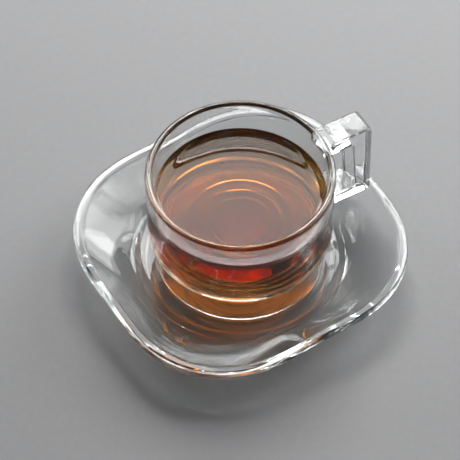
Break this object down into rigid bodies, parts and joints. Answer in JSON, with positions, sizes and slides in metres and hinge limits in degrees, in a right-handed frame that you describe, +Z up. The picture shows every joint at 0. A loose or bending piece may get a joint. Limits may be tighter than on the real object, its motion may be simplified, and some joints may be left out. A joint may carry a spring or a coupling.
{
  "type": "glass tea cup and saucer with black tea",
  "caption": "Low clear glass tea cup with a squared loop handle, part filled with black tea, on a clear glass saucer with a rounded-square rim.",
  "frame": {"origin": "on the cup's axis, at the underside of the saucer's base ring", "axes": "+Z up along the cup's axis, +X from the axis out through the middle of the handle"},
  "size_m": [0.1318, 0.1298, 0.06],
  "materials": {
    "cup_glass": "clear, polished",
    "saucer_glass": "clear, polished",
    "black_tea": "clear dark red-brown liquid"
  },
  "bodies": {
    "root": {"cup": "cup_glass", "saucer": "saucer_glass", "tea": "black_tea"}
  },
  "joints": []
}
